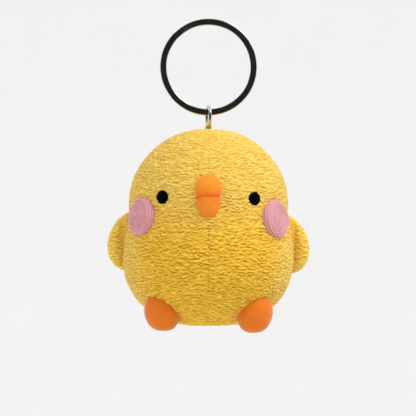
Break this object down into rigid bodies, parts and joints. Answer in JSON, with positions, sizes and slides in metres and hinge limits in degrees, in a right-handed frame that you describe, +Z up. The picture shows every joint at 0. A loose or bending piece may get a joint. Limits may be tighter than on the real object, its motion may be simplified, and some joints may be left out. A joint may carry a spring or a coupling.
{
  "type": "plush chick keychain",
  "caption": "Round stuffed fabric chick with a beak, cheeks, wings and feet, hung by a tape loop and a jump ring from a steel split ring.",
  "frame": {"origin": "centre of the split ring, half way through its thickness", "axes": "+Z up, along the hanging keychain from the chick to the ring; the chick faces -Y and the split ring's axis lies along Y; +X is the chick's own left"},
  "size_m": [0.0626, 0.0534, 0.0971],
  "materials": {
    "polished_steel": "polished",
    "yellow_plush": "matte",
    "orange_fabric": "matte",
    "pink_cord": "matte",
    "black_felt": "matte",
    "loop_tape": "satin",
    "sewing_thread": "satin",
    "stuffing": "matte"
  },
  "bodies": {
    "key_ring": {"split_ring": "polished_steel"},
    "link": {"jump_ring": "polished_steel"},
    "chick": {"hang_loop": "loop_tape", "loop_bar_tack": "sewing_thread", "closing_stitches": "sewing_thread", "back_left_panel": "yellow_plush", "back_right_panel": "yellow_plush", "front_right_panel": "yellow_plush", "front_left_panel": "yellow_plush", "body_stuffing": "stuffing", "upper_beak_cover": "orange_fabric", "upper_beak_stuffing": "stuffing", "lower_beak_cover": "orange_fabric", "lower_beak_stuffing": "stuffing", "left_eye": "black_felt", "left_cheek": "pink_cord", "left_foot_cover": "orange_fabric", "left_foot_stuffing": "stuffing", "right_eye": "black_felt", "right_cheek": "pink_cord", "right_foot_cover": "orange_fabric", "right_foot_stuffing": "stuffing"},
    "left_wing": {"left_wing_front_cover": "yellow_plush", "left_wing_back_cover": "yellow_plush", "left_wing_stuffing": "stuffing"},
    "right_wing": {"right_wing_front_cover": "yellow_plush", "right_wing_back_cover": "yellow_plush", "right_wing_stuffing": "stuffing"}
  },
  "joints": [
    {"name": "link_swing", "type": "hinge", "parent": "key_ring", "child": "link", "pos_m": [0, 0, -0.01535], "axis": [0.9877, 0.1564, 0], "range_deg": [-60, 60]},
    {"name": "chick_swing", "type": "hinge", "parent": "link", "child": "chick", "pos_m": [0, 0, -0.0186], "axis": [-0.1564, 0.9877, 0], "range_deg": [-25, 25]},
    {"name": "left_wing_flap", "type": "hinge", "parent": "chick", "child": "left_wing", "pos_m": [0.0267, 0, -0.0551], "axis": [0, 0, -1], "range_deg": [-30, 30], "stiffness_Nm_per_rad": 0.0001},
    {"name": "right_wing_flap", "type": "hinge", "parent": "chick", "child": "right_wing", "pos_m": [-0.0267, 0, -0.0542], "axis": [0, 0, 1], "range_deg": [-30, 30], "stiffness_Nm_per_rad": 0.0001}
  ]
}
